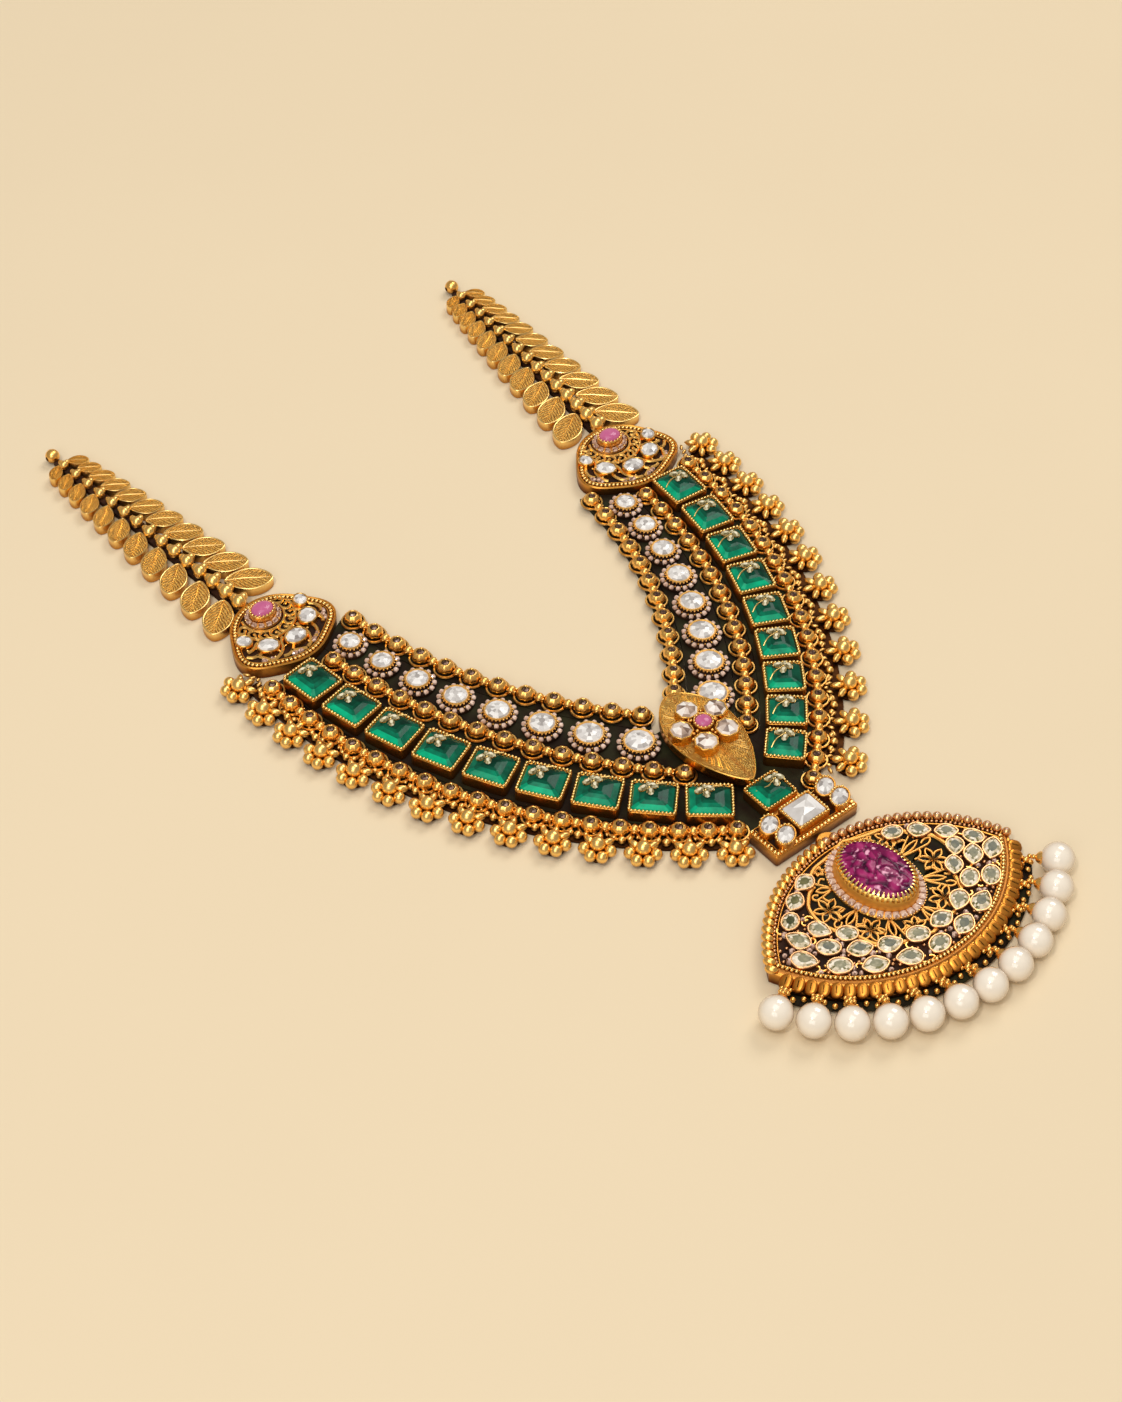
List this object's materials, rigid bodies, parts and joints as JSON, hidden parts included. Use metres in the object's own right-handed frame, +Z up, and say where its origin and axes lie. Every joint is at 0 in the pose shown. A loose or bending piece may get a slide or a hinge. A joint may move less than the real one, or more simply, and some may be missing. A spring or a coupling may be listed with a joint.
{
  "type": "temple necklace",
  "caption": "Wide gold temple necklace laid open: rows of emeralds and white stones, flower fringe, leaf chains, and a carved ruby pendant hung with pearls.",
  "frame": {"origin": "middle of the necklace's box, on the surface that it lies on", "axes": "+Y from the pendant towards the free ends of the two arms, +Z up from the surface, +X across from arm to arm"},
  "size_m": [0.1417, 0.262, 0.0092],
  "materials": {
    "gold": "antique gold, dark in its recesses",
    "bright_gold": "satin gold with polished edges",
    "emerald": "polished, step cut",
    "ruby": "polished, carved",
    "rose_stone": "polished cabochon",
    "white_stone": "polished, flat cut",
    "pearl": "soft pearl lustre"
  },
  "bodies": {
    "root": {"left_leaf_chain": "bright_gold", "right_leaf_chain": "bright_gold", "left_end_plate": "gold", "right_end_plate": "gold", "left_end_ruby": "rose_stone", "right_end_ruby": "rose_stone", "left_end_polki": "white_stone", "right_end_polki": "white_stone", "left_cup_rows": "gold", "right_cup_rows": "gold", "left_emerald_settings": "gold", "right_emerald_settings": "gold", "left_polki_settings": "gold", "right_polki_settings": "gold", "left_polki_stones": "white_stone", "right_polki_stones": "white_stone", "left_flower_fringe": "gold", "right_flower_fringe": "gold", "centre_leaf": "bright_gold", "centre_flower_stones": "white_stone", "centre_ruby": "rose_stone", "connector_plate": "gold", "connector_square_stone": "white_stone", "connector_oval_stones": "white_stone", "centre_emerald": "emerald", "pendant_plate": "gold", "pendant_ruby": "ruby", "pendant_polki": "white_stone", "pearl_hangers": "gold", "left_emerald_1": "emerald", "right_emerald_1": "emerald", "left_emerald_2": "emerald", "right_emerald_2": "emerald", "left_emerald_3": "emerald", "right_emerald_3": "emerald", "left_emerald_4": "emerald", "right_emerald_4": "emerald", "left_emerald_5": "emerald", "right_emerald_5": "emerald", "left_emerald_6": "emerald", "right_emerald_6": "emerald", "left_emerald_7": "emerald", "right_emerald_7": "emerald", "left_emerald_8": "emerald", "right_emerald_8": "emerald", "left_emerald_9": "emerald", "right_emerald_9": "emerald", "pearl_1": "pearl", "pearl_2": "pearl", "pearl_3": "pearl", "pearl_4": "pearl", "pearl_5": "pearl", "pearl_6": "pearl", "pearl_7": "pearl", "pearl_8": "pearl", "pearl_9": "pearl", "pearl_10": "pearl", "pearl_11": "pearl", "pearl_12": "pearl"}
  },
  "joints": []
}
